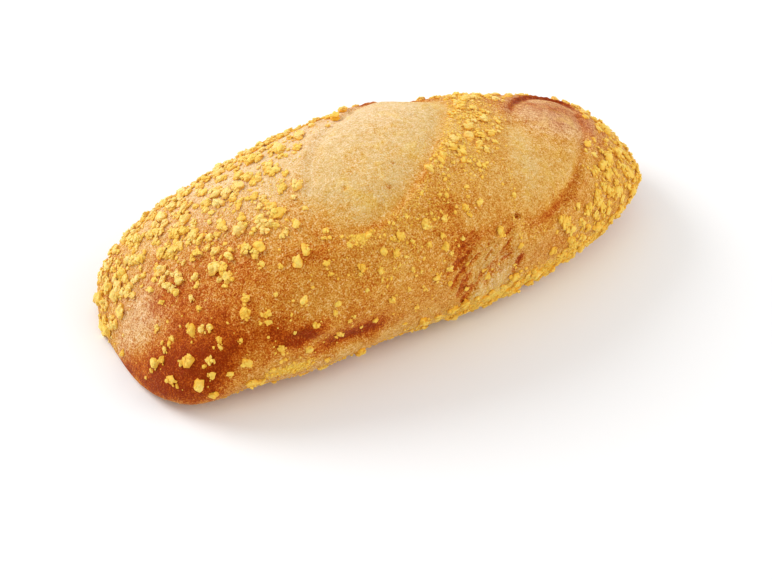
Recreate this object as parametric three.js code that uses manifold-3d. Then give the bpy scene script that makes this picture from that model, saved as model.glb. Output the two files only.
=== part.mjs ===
// A cornbread loaf: an oblong white-maize loaf, slashed twice on the slant and rolled in coarse corn grits.
//
// Millimetres, +Z up. +X runs along the loaf towards its narrow end, -Y is the near flank, and Z = 0 is the
// flat base it was baked on. The origin is under the middle of the loaf.
//
// A place on the crust is a pair of angles in degrees. The swing runs along the loaf, from -90 at the blunt
// end to 90 at the narrow end, with x = HALF_LENGTH * sin(swing). The turn runs round the section: 0 is the
// far side, 90 the top, 180 the near side and 270 underneath.

import * as THREE from 'three';
import { mergeVertices } from 'three/addons/utils/BufferGeometryUtils.js';
import Module from 'manifold-3d';

const wasm = await Module();
wasm.setup();

// Loaf: driving sizes
const HALF_LENGTH = 139;
const HALF_WIDTH = 58.7;
const HEIGHT = 84;
const BELLY = 0.46; // height of the widest line, as a share of the height
const BOW = 9.5; // how far both ends curve towards the far side
const BOW_CENTRE = 0.24; // brings the bowed loaf's box back over the origin
const BLUNT_LIFT = 1; // how far the crust curls up off the base at each end
const NARROW_LIFT = 16;
const CURL_START = 0.4; // share of the half-length at which the ends begin to curl up

// Loaf: how the width and the height fade from their peaks to the two ends
const PLAN = { peak: -0.33, bluntPower: 4.9, narrowPower: 2.45, roundness: 3.1 };
const SIDE = { peak: -0.1, bluntPower: 1.7, narrowPower: 1.9, roundness: 1.65 };

// Loaf: how full the section is at its sides, crown and base, where 2 is an ellipse
const FLANK_FULLNESS = 2.2;
const CROWN_FULLNESS = 2.1;
const BASE_FULLNESS = 2.6;
const BASE_DEPTH = 1.15; // the section reaches this share of the belly below it, and is cut flat at Z = 0

// Slashes: ovals on the crust, in millimetres along the loaf and degrees of turn, with pointed or blunt ends
const WIDE_SLASH = { x: -2, turn: 85, halfLength: 56, halfWidth: 24, lean: -41, fullness: 2.6, dome: 1.6 };
const NARROW_SLASH = { x: 82, turn: 105, halfLength: 60, halfWidth: 20.5, lean: -58, fullness: 2, dome: 1.2 };

// Rims: soft ridges and furrows that follow a slash, over a stretch of its rim
const RIMS = [
  { slash: WIDE_SLASH, from: 0, to: 360, at: 0.98, width: 0.17, height: -1.2 },
  { slash: WIDE_SLASH, from: 50, to: 185, at: 1.18, width: 0.14, height: 1.6 },
  { slash: WIDE_SLASH, from: 190, to: 300, at: 1.16, width: 0.1, height: 1.2 },
  { slash: NARROW_SLASH, from: -95, to: 175, at: 0.96, width: 0.17, height: -1.5 },
  { slash: NARROW_SLASH, from: 45, to: 175, at: 1.19, width: 0.15, height: 1.9 },
];

// Lips: thin browned edges of crust that the oven spring folded up at the far rim of each slash
const LIPS = [
  { slash: WIDE_SLASH, from: -80, to: 18, at: 1.06, height: 2.6, halfWidth: 3.2, sunk: 0.8 },
  { slash: NARROW_SLASH, from: -92, to: 52, at: 1.07, height: 2.8, halfWidth: 3.2, sunk: 0.8 },
];

// Swells and hollows: soft local rises and dips of the crust
const SWELLS = [
  { x: -80, turn: 40, length: 48, girth: 60, height: -0.9 }, // back, lower under its thick coat of grits
  { x: -126, turn: 200, length: 14, girth: 26, height: 2.2 }, // heel of the blunt end
  { x: -98, turn: 204, length: 16, girth: 20, height: -2.0 }, // pinch behind the heel
  { x: -128, turn: 92, length: 7, girth: 34, height: -1.8 }, // pale dent across the blunt end
  { x: 34, turn: 44, length: 12, girth: 26, height: -1.2 }, // notch between the far lip and the hump
  { x: 62, turn: 76, length: 17, girth: 24, height: 1.2 }, // hump between the slashes
  { x: 20, turn: 145, length: 24, girth: 22, height: 1.0 }, // end of that hump on the near flank
  { x: 22, turn: 178, length: 17, girth: 13, height: -2.2 }, // torn place low on the near flank
  { x: 30, turn: 208, length: 34, girth: 9, height: 1.6 }, // bulge under the torn place
  { x: -60, turn: 203, length: 32, girth: 9, height: 1.6 }, // bulge under the crease
  { x: -70, turn: 130, length: 26, girth: 22, height: 0.9 }, // shoulder of the near flank
];

// Crease: a fold low on the near flank, which drops from its blunt-end tip and then runs level
const CREASE = { from: -92, to: -28, turn: 186, bendAt: -58, drop: 0.045, halfWidth: 6, depth: 2.4 };

// Grits: coarse chips of maize set into the crust, the largest first
const GRIT_TRIALS = 6000; // places tried, in a steady rhythm that spreads them evenly
const GRIT_SCATTER = { swing: 5, turn: 12 }; // degrees over which places are shifted, so that no rows show
const GRIT_COUNT = 140; // the largest chips, those that show from a step away
const GRIT_SIZE = [2.4, 5.8]; // across, smallest and largest
const GRIT_FADE = 2; // how fast the size falls with rank
const GRIT_FLATNESS = 0.68; // thickness as a share of the width
const GRIT_STAND = 0.06; // share of the width by which a chip's middle stands above the crust
const GRIT_CUTS = 7; // flat faces broken on each chip
const GRIT_CUT_DEPTH = [0.55, 0.9]; // how far out they lie, as shares of its radius
const GRIT_WIDTH = [0.8, 1.15]; // as shares of its size
const GRIT_LENGTH = [1, 1.35];
const GRIT_LOWEST = 2.5; // no chip's middle is nearer the base than this

// Grits: how many lie on a square centimetre, and how large they are there, in fields that may lean
const GRIT_FIELDS = [
  { x: -90, turn: 44, length: 75, girth: 62, lean: 20, count: 2.3, size: 0.98 }, // back of the blunt half
  { x: -60, turn: -6, length: 80, girth: 36, lean: 0, count: 1.6, size: 0.95 }, // far flank
  { x: -114, turn: 142, length: 34, girth: 56, lean: 0, count: 0.9, size: 1.12 }, // blunt end, the largest
  { x: -24, turn: 160, length: 72, girth: 36, lean: 0, count: 0.4, size: 0.72 }, // near flank
  { x: -8, turn: 138, length: 46, girth: 14, lean: -30, count: 0.8, size: 0.72 }, // under the wide slash
  { x: -35, turn: 131, length: 7, girth: 5, lean: -30, count: 3.6, size: 0.8 }, // clot at its near end
  { x: 48, turn: 76, length: 48, girth: 19, lean: -52, count: 1.9, size: 0.74 }, // hump between the slashes
  { x: 112, turn: 164, length: 46, girth: 48, lean: 0, count: 2.1, size: 1.12 }, // narrow end
  { x: 60, turn: 4, length: 100, girth: 44, lean: 0, count: 1.6, size: 0.9 }, // far flank of the narrow half
  { x: 130, turn: 80, length: 14, girth: 70, lean: 0, count: 2.1, size: 1 }, // tip of the narrow end
  { x: 62, turn: 206, length: 76, girth: 13, lean: -6, count: 1.6, size: 0.85 }, // foot of the near flank
  { x: -70, turn: 210, length: 60, girth: 7, lean: 0, count: 0.3, size: 0.8 }, // foot of the blunt half
];
const BARES = [
  { x: -131, turn: 92, length: 10, girth: 15, lean: 0 }, // dent across the blunt end
  { x: 84, turn: 148, length: 14, girth: 9, lean: -50 }, // near rim of the narrow slash
  { x: -38, turn: 87, length: 34, girth: 7, lean: -57 }, // ridge behind the wide slash
];
const SLASH_BARE = 1.06; // grits keep this far off a slash, in radii of its oval

// Mesh: how finely the crust, lips and chips are faceted
const STATIONS = 58;
const SECTION_SIDES = 42;
const FIRST_TURN = -90; // the sides are counted from underneath, where no relief meets itself
const LIP_STEPS = 22;
const LIP_SIDES = 6;

const CRUST = { color: '#dba35a', roughness: 0.82, metalness: 0 };

const RADIANS = Math.PI / 180;
const CIRCLE = 360;
const STEP = 0.5; // degrees, for slopes taken between neighbouring places
const CM2 = 100; // square millimetres

const signedPower = (value, power) => Math.sign(value) * Math.abs(value) ** power;
const fraction = (value) => value - Math.floor(value);
const bell = (value) => Math.exp(-(value ** 2));
const plateau = (value) => Math.exp(-(value ** 4));
const between = ([low, high], share) => low + (high - low) * share;

/** Share of the full width or height that is left at s, a share of the half-length. */
function fade(s, { peak, bluntPower, narrowPower, roundness }) {
  const blunt = s < peak;
  const away = blunt ? (peak - s) / (1 + peak) : (s - peak) / (1 - peak);
  return Math.max(0, 1 - away ** (blunt ? bluntPower : narrowPower)) ** (1 / roundness);
}

/** A place on the smooth loaf, before any slash or swell. */
function smoothCrust(swing, turn) {
  const s = Math.sin(swing * RADIANS);
  const side = Math.cos(turn * RADIANS);
  const rise = Math.sin(turn * RADIANS);
  const height = HEIGHT * fade(s, SIDE);
  const belly = BELLY * height;
  const y = HALF_WIDTH * fade(s, PLAN) * signedPower(side, 2 / FLANK_FULLNESS);
  const above = rise > 0 ? (height - belly) * rise ** (2 / CROWN_FULLNESS) : 0;
  const below = rise < 0 ? belly * BASE_DEPTH * (-rise) ** (2 / BASE_FULLNESS) : 0;
  const curl = Math.max(0, (Math.abs(s) - CURL_START) / (1 - CURL_START)) ** 2;
  const lift = (s < 0 ? BLUNT_LIFT : NARROW_LIFT) * curl;
  return new THREE.Vector3(HALF_LENGTH * s, y + BOW * (s * s - BOW_CENTRE), belly + above - below + lift);
}

/** The two directions along the smooth crust at a place, and its outward normal, none of them scaled. */
function slopes(swing, turn) {
  const along = smoothCrust(swing + STEP, turn).sub(smoothCrust(swing - STEP, turn));
  const round = smoothCrust(swing, turn + STEP).sub(smoothCrust(swing, turn - STEP));
  return { along, round, outward: new THREE.Vector3().crossVectors(round, along) };
}

/** A place seen from the middle of a leaning patch: how far along it, and how far across it. */
function leaning(x, turn, patch) {
  const lean = patch.lean * RADIANS;
  const dx = x - patch.x;
  const dTurn = turn - patch.turn;
  return {
    along: dx * Math.cos(lean) + dTurn * Math.sin(lean),
    across: dTurn * Math.cos(lean) - dx * Math.sin(lean),
  };
}

/** Where a place lies on a slash's oval: its radius, 1 at the rim, and its angle round the rim. */
function onSlash(x, turn, slash) {
  const { along, across } = leaning(x, turn, slash);
  const long = along / slash.halfLength;
  const wide = across / slash.halfWidth;
  const power = slash.fullness;
  return {
    radius: (Math.abs(long) ** power + Math.abs(wide) ** power) ** (1 / power),
    angle: Math.atan2(wide, long) / RADIANS,
  };
}

/** 0 outside the stretch of rim between two angles, and an arch up to 1 within it. */
function stretch(angle, { from, to }) {
  if (to - from >= CIRCLE) return 1;
  const share = (fraction((angle - from) / CIRCLE) * CIRCLE) / (to - from);
  return share < 1 ? Math.sqrt(Math.sin(share * Math.PI)) : 0;
}

/** How far the crust stands above the smooth loaf at a place. */
function relief(x, turn) {
  let height = 0;
  for (const slash of [WIDE_SLASH, NARROW_SLASH]) {
    height += slash.dome * Math.max(0, 1 - onSlash(x, turn, slash).radius ** 2);
  }
  for (const rim of RIMS) {
    const { radius, angle } = onSlash(x, turn, rim.slash);
    height += rim.height * bell((radius - rim.at) / rim.width) * stretch(angle, rim);
  }
  for (const swell of SWELLS) {
    height += swell.height * bell((x - swell.x) / swell.length) * bell((turn - swell.turn) / swell.girth);
  }
  const creaseTurn = CREASE.turn - CREASE.drop * Math.max(0, CREASE.bendAt - x) ** 2;
  const share = (x - CREASE.from) / (CREASE.to - CREASE.from);
  if (share > 0 && share < 1) {
    height -= CREASE.depth * Math.sin(share * Math.PI) * bell((turn - creaseTurn) / CREASE.halfWidth);
  }
  return height;
}

/** A place on the crust, with its slashes, rims and swells. */
function crust(swing, turn) {
  const rise = relief(HALF_LENGTH * Math.sin(swing * RADIANS), turn) * Math.cos(swing * RADIANS) ** 0.5;
  return smoothCrust(swing, turn).addScaledVector(slopes(swing, turn).outward.normalize(), rise);
}

/** The swing at which the crust has a given x. */
const swingAt = (x) => Math.asin(THREE.MathUtils.clamp(x / HALF_LENGTH, -1, 1)) / RADIANS;

/** A closed skin over rings of points, drawn to a single point before the first ring and after the last. */
function skin(start, rings, end) {
  const sides = rings[0].length;
  const points = [start, ...rings.flat(), end];
  const last = points.length - 1;
  const at = (ring, side) => 1 + ring * sides + (side % sides);
  const faces = [];
  for (let side = 0; side < sides; side += 1) {
    faces.push(0, at(0, side + 1), at(0, side));
    faces.push(last, at(rings.length - 1, side), at(rings.length - 1, side + 1));
    for (let ring = 0; ring < rings.length - 1; ring += 1) {
      faces.push(at(ring, side), at(ring, side + 1), at(ring + 1, side));
      faces.push(at(ring + 1, side), at(ring, side + 1), at(ring + 1, side + 1));
    }
  }
  const geometry = new THREE.BufferGeometry().setFromPoints(points);
  geometry.setIndex(faces);
  return geometry;
}

/** A closed geometry as a solid that can be joined and cut. */
function solid(geometry) {
  geometry.deleteAttribute('normal');
  geometry.deleteAttribute('uv');
  const merged = mergeVertices(geometry);
  return new wasm.Manifold(new wasm.Mesh({
    numProp: 3,
    vertProperties: merged.attributes.position.array,
    triVerts: new Uint32Array(merged.index.array),
  }));
}

/** The bare loaf, cut flat at its base. */
function loafBody() {
  const rings = [];
  for (let station = 1; station < STATIONS; station += 1) {
    const swing = (2 * station / STATIONS - 1) * 90;
    const ring = [];
    for (let side = 0; side < SECTION_SIDES; side += 1) {
      ring.push(crust(swing, FIRST_TURN + side * CIRCLE / SECTION_SIDES));
    }
    rings.push(ring);
  }
  const whole = solid(skin(smoothCrust(-90, 0), rings, smoothCrust(90, 0)));
  const oven = new THREE.BoxGeometry(3 * HALF_LENGTH, 3 * HALF_WIDTH, HEIGHT).translate(0, 0, -HEIGHT / 2);
  return whole.subtract(solid(oven));
}

/** A lip along a slash's rim: an oval cord, more than half sunk in the crust, which thins at its tips. */
function lipSolid(lip) {
  const { slash } = lip;
  const lean = slash.lean * RADIANS;
  const ringAt = (step) => {
    const angle = (lip.from + (lip.to - lip.from) * step / LIP_STEPS) * RADIANS;
    const reach = lip.at / (Math.abs(Math.cos(angle)) ** slash.fullness
      + Math.abs(Math.sin(angle)) ** slash.fullness) ** (1 / slash.fullness);
    const long = reach * slash.halfLength * Math.cos(angle);
    const wide = reach * slash.halfWidth * Math.sin(angle);
    const swing = swingAt(slash.x + long * Math.cos(lean) - wide * Math.sin(lean));
    const turn = slash.turn + long * Math.sin(lean) + wide * Math.cos(lean);
    return { swing, turn, middle: crust(swing, turn), up: slopes(swing, turn).outward.normalize() };
  };
  const rings = [];
  for (let step = 1; step < LIP_STEPS; step += 1) {
    const { middle, up } = ringAt(step);
    const ahead = ringAt(step + 1).middle.sub(ringAt(step - 1).middle).normalize();
    const out = new THREE.Vector3().crossVectors(ahead, up).normalize();
    const size = Math.sqrt(Math.sin(step / LIP_STEPS * Math.PI));
    rings.push(Array.from({ length: LIP_SIDES }, (_, side) => {
      const angle = side / LIP_SIDES * CIRCLE * RADIANS;
      return middle.clone()
        .addScaledVector(out, -Math.cos(angle) * lip.halfWidth * size)
        .addScaledVector(up, Math.sin(angle) * lip.height * size - lip.sunk);
    }));
  }
  const tips = [ringAt(0), ringAt(LIP_STEPS)].map(({ middle, up }) => middle.addScaledVector(up, -lip.sunk));
  return solid(skin(tips[0], rings, tips[1]));
}

// Draws from 0 to 1: a steady count spreads the places evenly, and a wave makes every other choice
const RHYTHM = 1.2207440846057596; // real root of x^4 = x + 1
const SPREAD_CHOICES = 3; // the first choices of a trial, which the steady count makes
const MIXING = 1000; // times the wave's height holds the range from 0 to 1

/** The number, from 0 to 1, that a trial draws for one of its choices. */
function share(trial, choice) {
  const count = trial + 1;
  if (choice <= SPREAD_CHOICES) return fraction(count * RHYTHM ** -choice);
  return fraction(MIXING * Math.sin(count * Math.log(choice)));
}

/** 1 inside a leaning field, with a flat-topped fade round it. */
function inField(x, turn, field) {
  const { along, across } = leaning(x, turn, field);
  return plateau(along / field.length) * plateau(across / field.girth);
}

/** Grits on a square centimetre at a place, and their size there. */
function gritField(x, turn) {
  let count = 0;
  let size = 1;
  for (const field of GRIT_FIELDS) {
    const there = inField(x, turn, field) * field.count;
    if (there > count) {
      count = there;
      size = field.size;
    }
  }
  for (const patch of BARES) count *= 1 - inField(x, turn, patch);
  const bare = [WIDE_SLASH, NARROW_SLASH].some((slash) => onSlash(x, turn, slash).radius < SLASH_BARE);
  return { count: bare ? 0 : count, size };
}

/** A broken chip of maize one unit across: a ball with flat faces cut off it. */
function chipGeometry(trial) {
  const cuts = Array.from({ length: GRIT_CUTS }, (_, cut) => {
    const z = 2 * share(trial, 12 + 3 * cut) - 1;
    const angle = share(trial, 13 + 3 * cut) * CIRCLE * RADIANS;
    const across = Math.sqrt(1 - z * z);
    return {
      face: new THREE.Vector3(across * Math.cos(angle), across * Math.sin(angle), z),
      depth: between(GRIT_CUT_DEPTH, share(trial, 14 + 3 * cut)),
    };
  });
  const ball = new THREE.IcosahedronGeometry(1, 0);
  const corners = ball.attributes.position;
  const corner = new THREE.Vector3();
  for (let i = 0; i < corners.count; i += 1) {
    corner.fromBufferAttribute(corners, i).normalize();
    const reaches = cuts.map(({ face, depth }) => depth / Math.max(depth, corner.dot(face)));
    corner.multiplyScalar(Math.min(...reaches) / 2);
    corners.setXYZ(i, corner.x, corner.y, corner.z);
  }
  return ball;
}

/** The grits, each pressed into the crust at its own place, largest first. */
function gritSolids() {
  const chartShare = Math.PI * 2 * Math.PI / GRIT_TRIALS; // square radians of crust to each trial
  const grits = [];
  for (let trial = 0; trial < GRIT_TRIALS && grits.length < GRIT_COUNT; trial += 1) {
    const swing = 180 * share(trial, 1) - 90 + GRIT_SCATTER.swing * (share(trial, 10) - 0.5);
    const turn = CIRCLE * share(trial, 2) - 90 + GRIT_SCATTER.turn * (share(trial, 11) - 0.5);
    const { count, size } = gritField(HALF_LENGTH * Math.sin(swing * RADIANS), turn);
    const { along, round, outward } = slopes(swing, turn);
    const area = outward.length() / (2 * STEP * RADIANS) ** 2 * chartShare;
    if (share(trial, 3) > count * area / CM2) continue;
    const across = between(GRIT_SIZE, (1 - trial / GRIT_TRIALS) ** GRIT_FADE) * size;
    const middle = crust(swing, turn).addScaledVector(outward.normalize(), GRIT_STAND * across);
    if (middle.z < GRIT_LOWEST) continue;
    along.normalize().applyAxisAngle(outward, share(trial, 4) * CIRCLE * RADIANS);
    round.crossVectors(outward, along);
    const extent = new THREE.Vector3(
      across * between(GRIT_LENGTH, share(trial, 5)),
      across * between(GRIT_WIDTH, share(trial, 6)),
      across * GRIT_FLATNESS,
    );
    const place = new THREE.Matrix4().makeBasis(along, round, outward).scale(extent).setPosition(middle);
    grits.push(solid(chipGeometry(trial).applyMatrix4(place)));
  }
  return grits;
}

/** The loaf with its lips and grits, as one solid mesh. */
function loafMesh() {
  let loaf = loafBody();
  for (const lip of LIPS) loaf = loaf.add(lipSolid(lip));
  for (const grit of gritSolids()) loaf = loaf.add(grit);
  const [withoutScraps] = loaf.decompose().sort((a, b) => b.volume() - a.volume());
  const { vertProperties, triVerts } = withoutScraps.getMesh();
  const geometry = new THREE.BufferGeometry();
  geometry.setAttribute('position', new THREE.BufferAttribute(vertProperties, 3));
  geometry.setIndex(new THREE.BufferAttribute(triVerts, 1));
  geometry.computeVertexNormals();
  const mesh = new THREE.Mesh(geometry, new THREE.MeshStandardMaterial(CRUST));
  mesh.name = 'loaf';
  return mesh;
}

const group = new THREE.Group();
group.add(loafMesh());

export default group;
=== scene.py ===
"""The looks of the cornbread loaf: its baked crust and its corn grits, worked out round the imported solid.

A place on the crust is a pair of angles in degrees. The swing runs along the loaf, from -90 at the blunt
end to 90 at the narrow end, with x = HALF_LENGTH * sin(swing). The turn runs round the section: 0 is the far
side, 90 the top, 180 the near side and 270 underneath. The crust is worked out in millimetres, and its
meshes are in metres. Noise has a size in millimetres, a strength and the seed that it grows from.
"""

import math

import bmesh
import bpy
import numpy as np
from bpy.props import FloatProperty, FloatVectorProperty, IntProperty, PointerProperty
from mathutils import Matrix, Vector


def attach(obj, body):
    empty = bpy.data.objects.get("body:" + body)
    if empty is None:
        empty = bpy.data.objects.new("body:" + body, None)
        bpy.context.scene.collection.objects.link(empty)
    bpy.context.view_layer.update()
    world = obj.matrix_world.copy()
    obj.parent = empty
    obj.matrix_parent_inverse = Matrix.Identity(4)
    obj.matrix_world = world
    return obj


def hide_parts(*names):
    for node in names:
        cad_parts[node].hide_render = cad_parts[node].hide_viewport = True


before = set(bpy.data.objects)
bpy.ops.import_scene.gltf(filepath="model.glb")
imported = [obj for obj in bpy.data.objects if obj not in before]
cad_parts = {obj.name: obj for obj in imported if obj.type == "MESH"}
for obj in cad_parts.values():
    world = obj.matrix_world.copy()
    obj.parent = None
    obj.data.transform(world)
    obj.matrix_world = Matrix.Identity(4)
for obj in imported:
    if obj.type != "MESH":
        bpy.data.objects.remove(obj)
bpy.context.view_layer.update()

bl_info = {
    "name": "Cornbread Loaf",
    "version": (1, 0, 0),
    "blender": (4, 5, 0),
    "location": "3D View > Sidebar > Cornbread",
    "description": "Builds a slashed cornbread loaf with its crust of corn grits",
    "category": "Add Mesh",
}

MM = 0.001  # metres
CIRCLE = 360.0  # degrees
CM2 = 100.0  # square millimetres
SEED_SHIFT = 0.37  # cells of noise from one seed to the next


def rows(keys, *numbers):
    """A dictionary for each row of numbers, under keys that a line of words names in the same order."""
    return [dict(zip(keys.split(), row)) for row in numbers]


# Loaf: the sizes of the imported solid, in millimetres
HALF_LENGTH = 139.0
HALF_WIDTH = 58.7
HEIGHT = 84.0
BELLY = 0.46
BOW = 9.5
BOW_CENTRE = 0.24
BLUNT_LIFT = 1.0
NARROW_LIFT = 16.0
CURL_START = 0.4
PLAN = {"peak": -0.33, "blunt_power": 4.9, "narrow_power": 2.45, "roundness": 3.1}
SIDE = {"peak": -0.1, "blunt_power": 1.7, "narrow_power": 1.9, "roundness": 1.65}
FLANK_FULLNESS = 2.2
CROWN_FULLNESS = 2.1
BASE_FULLNESS = 2.6
BASE_DEPTH = 1.15

# Slashes: ovals on the crust, in millimetres along the loaf and degrees of turn. Their bare and their pale
# surfaces end softly between two radii of the oval.
WIDE_SLASH = {
    "x": -2, "turn": 85, "half_length": 56, "half_width": 24, "lean": -41, "fullness": 2.6, "dome": 1.6,
    "bare_edge": (0.86, 1.10), "pale_edge": (0.68, 1.18), "paler": 0.39,
}
NARROW_SLASH = {
    "x": 82, "turn": 105, "half_length": 60, "half_width": 20.5, "lean": -58, "fullness": 2.0, "dome": 1.2,
    "bare_edge": (0.86, 1.08), "pale_edge": (0.72, 1.14), "paler": 0.17,
}
SLASHES = (WIDE_SLASH, NARROW_SLASH)

# Rims: soft ridges and furrows that follow a slash, between two angles round it
RIMS = rows(
    "slash from to at width height",
    (WIDE_SLASH, 0, 360, 0.98, 0.17, -1.2),
    (WIDE_SLASH, 50, 185, 1.18, 0.14, 1.6),
    (WIDE_SLASH, 190, 300, 1.16, 0.10, 1.2),
    (NARROW_SLASH, -95, 175, 0.96, 0.17, -1.5),
    (NARROW_SLASH, 45, 175, 1.19, 0.15, 1.9),
)

# Lips: thin browned edges at the far rim of each slash, steep towards the slash and easy away from it
LIPS = rows(
    "slash from to at inner outer height",
    (WIDE_SLASH, -80, 18, 1.04, 0.9, 3.4, 1.6),
    (NARROW_SLASH, -92, 52, 1.05, 1.0, 3.6, 1.8),
)
# Their ragged crests: sines of the angle round the slash, added to a level, as shares of a lip's height
CREST_LEVEL = 0.85
CREST_SINES = rows("share per_degree start", (0.15, 0.35, 0), (0.12, 0.93, 1))

# Curl: where the far lip of the wide slash stands up
CURL = {"x": 11, "turn": 45, "length": 17, "girth": 11, "height": 2.2}

# Swells and hollows: soft local rises and dips of the crust
SWELLS = rows(
    "x turn length girth height",
    (-80, 40, 48, 60, -0.9),  # back, under its thick coat of grits
    (-126, 200, 14, 26, 2.2),  # heel of the blunt end
    (-98, 204, 16, 20, -2.0),  # pinch behind the heel
    (-128, 92, 7, 34, -1.8),  # pale dent across the blunt end
    (34, 44, 12, 26, -1.2),  # notch between far lip and hump
    (62, 76, 17, 24, 1.2),  # hump between the slashes
    (20, 145, 24, 22, 1.0),  # end of that hump, on the near flank
    (22, 178, 17, 13, -2.2),  # torn place
    (30, 208, 34, 9, 1.6),  # bulge under the torn place
    (-60, 203, 32, 9, 1.6),  # bulge under the crease
    (-70, 130, 26, 22, 0.9),  # shoulder of the near flank
)

# Crease: a fold low on the near flank
CREASE = {
    "from": -92, "to": -28, "turn": 186, "bend_at": -58, "drop": 0.045, "half_width": 6, "depth": 2.4,
}

# Torn place: a burst low on the near flank, whose stretched crumb runs in slanting strands
TEAR = {
    "x": 21, "turn": 176, "length": 21, "girth": 23, "lean": -52, "strand": 2.4, "stretch": 3.4, "seed": 5,
    # The crust darkens in the hollows between the strands: painted shade
    "depth": 1.8, "hollow": 0.3, "paler": 0.12, "darker": 0.46, "shade_between": (0.08, 0.5),
}

# Pores: small open bubbles, in millimetres along the loaf, degrees of turn, millimetres across and deep
PORES = rows(
    "x turn across depth",
    (-33, 106, 3.0, 0.9),
    (-24, 113, 1.6, 0.8),
    (-15, 115, 3.0, 1.2),
    (-7, 104, 1.8, 1.8),
    (20, 78, 1.4, 1.2),
    (41, 151, 3.2, 1.8),
)
PORE_RING = {"share": 0.25, "at": 1.5, "width": 0.5}  # a faint raised ring, in radii of the pore
# Pores are darker inside: painted shade in their hollows
PORE_PAINTED_SHADE = 0.42

# Unevenness: waves of the whole crust, and lumps that are lower on the slashes, in millimetres
WAVES = rows("size strength seed", (34, 0.55, 1), (15, 0.32, 2))
LUMPS = rows("size strength less_on_slash seed layers", (6.5, 0.30, 0.12, 3, 1), (2.8, 0.16, 0.07, 4, 2))

# Baking: how brown the crust is, from 0, floury, to 1, nearly burnt, as additions to a golden level
GOLDEN = 0.48
BAKES = rows(
    "x turn length girth deeper",
    (-126, 158, 19, 34, 0.64),  # blunt end, near corner
    (-112, 138, 22, 28, 0.19),  # near side of the blunt end
    (-92, 136, 14, 16, 0.10),  # and further in
    (-122, 83, 12, 10, 0.18),  # top of the blunt end
    (-104, 102, 22, 14, 0.16),  # and further in
    (-138, 112, 4, 22, 0.14),  # face of the blunt end
    (-119, 94, 9, 6, 0.22),  # edge of the pale dent
    (-129, 95, 12, 14, -0.14),  # pale dent across the blunt end
    (-84, 178, 9, 12, -0.06),  # under the upper end of the crease
    # The next three darken the crease: partly browning in the fold, partly painted shade
    (-84, 158, 8, 9, 0.40),  # crease, from its upper end down
    (-75, 171, 12, 7, 0.72),  # middle of the crease
    (-54, 186, 20, 4.5, 0.72),  # lower half of the crease
    (-78, 188, 18, 6, -0.24),  # pale fold under its upper half
    (-66, 201, 34, 7, -0.12),  # lip under the crease
    (-62, 128, 14, 12, 0.14),  # shoulder of the near flank
    (-10, 127, 12, 9, -0.12),  # under the wide slash
    (71, 147, 9, 9, 0.14),  # near rim of the narrow slash
    (9, 44, 13, 3, 0.42),  # browned curl of the far lip
    (20, 47.5, 8, 2.5, 0.50),  # and its narrow side
    (-95, 36, 55, 50, -0.08),  # back of the blunt half
    (-50, 74, 26, 34, -0.30),  # beside the wide slash
    (18, 106, 16, 12, -0.14),  # near rim of the wide slash
    (-54, 40, 44, 28, -0.36),  # back, behind the wide slash
    (60, 106, 8, 26, -0.14),  # beside the narrow slash
    (-23, 98, 6, 6, 0.18),  # warm patch on the wide slash
    (7, 170, 5, 18, 0.26),  # browned edges of the torn place
    (20, 156, 12, 5, 0.24),  # upper edge of the torn place
    (6, 138, 5, 6, 0.22),  # spot above the torn place
    (27, 180, 14, 16, -0.16),  # pale crumb of the torn place
    (33, 172, 4, 5, 0.26),  # its edge towards the narrow end
    (50, 160, 10, 6, 0.12),  # and beyond it
    (44, 78, 22, 26, -0.10),  # hump between the slashes
    (28, 96, 8, 20, -0.10),  # its side towards the wide slash
    (40, 128, 18, 16, -0.14),  # near end of the narrow slash
    (112, 155, 34, 50, -0.14),  # narrow end
    (40, 206, 80, 14, -0.14),  # foot of the near flank
    (99, 84, 24, 26, 0.41),  # far half of the narrow slash
)
# Baking along the rims of the slashes, between two angles round them
RIM_BAKES = rows(
    "slash from to at width deeper",
    (WIDE_SLASH, -80, 20, 1.05, 0.06, 0.32),
    (WIDE_SLASH, 100, 164, 1.07, 0.08, 0.12),
    (NARROW_SLASH, -74, -50, 0.97, 0.05, 0.36),
    (NARROW_SLASH, -54, 40, 0.99, 0.075, 0.75),
    (NARROW_SLASH, 30, 104, 1.01, 0.04, 0.06),
    (NARROW_SLASH, 96, 172, 0.97, 0.10, 0.26),
)
# Dusting: patches where a veil of pale flour lies on the crust; two of them also paint the highlight of the
# light from behind
DUST_AND_HIGHLIGHT_PATCHES = rows(
    "x turn length girth dust",
    (-130, 92, 12, 18, 0.58),  # pale dent across the blunt end
    (-112, 122, 20, 16, 0.15),  # top of the blunt end
    (-94, 50, 46, 44, 0.44),  # back of the blunt half
    # The next two are partly flour and partly a painted highlight of the light from behind
    (-52, 56, 38, 38, 0.95),  # beside the wide slash
    (4, 64, 28, 22, 0.90),  # far half of the wide slash
    (-8, 100, 30, 22, 0.15),  # near half of the wide slash
    (97, 84, 24, 24, 1.15),  # far half of the narrow slash
    (-70, 203, 26, 10, 0.30),  # lip under the crease
    (30, 186, 14, 14, 0.25),  # torn place
)
LEAST_DUST = 0.05
# Unevenness of the baking, of the edges of the pale slashes, and the blotches of the browned crust
BAKE_NOISE = rows("size strength seed", (22, 0.06, 11), (9, 0.07, 12))
EDGE_NOISE = rows("size strength seed", (16, 0.10, 13), (6, 0.07, 14))
BLOTCHES = {"size": 7, "strength": 0.17, "seed": 15, "layers": 2, "levels": (0.5, 0.9)}
UNDERSIDE = {"near": (214, 232), "far": (-52, -34), "deeper": 0.1}

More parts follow.
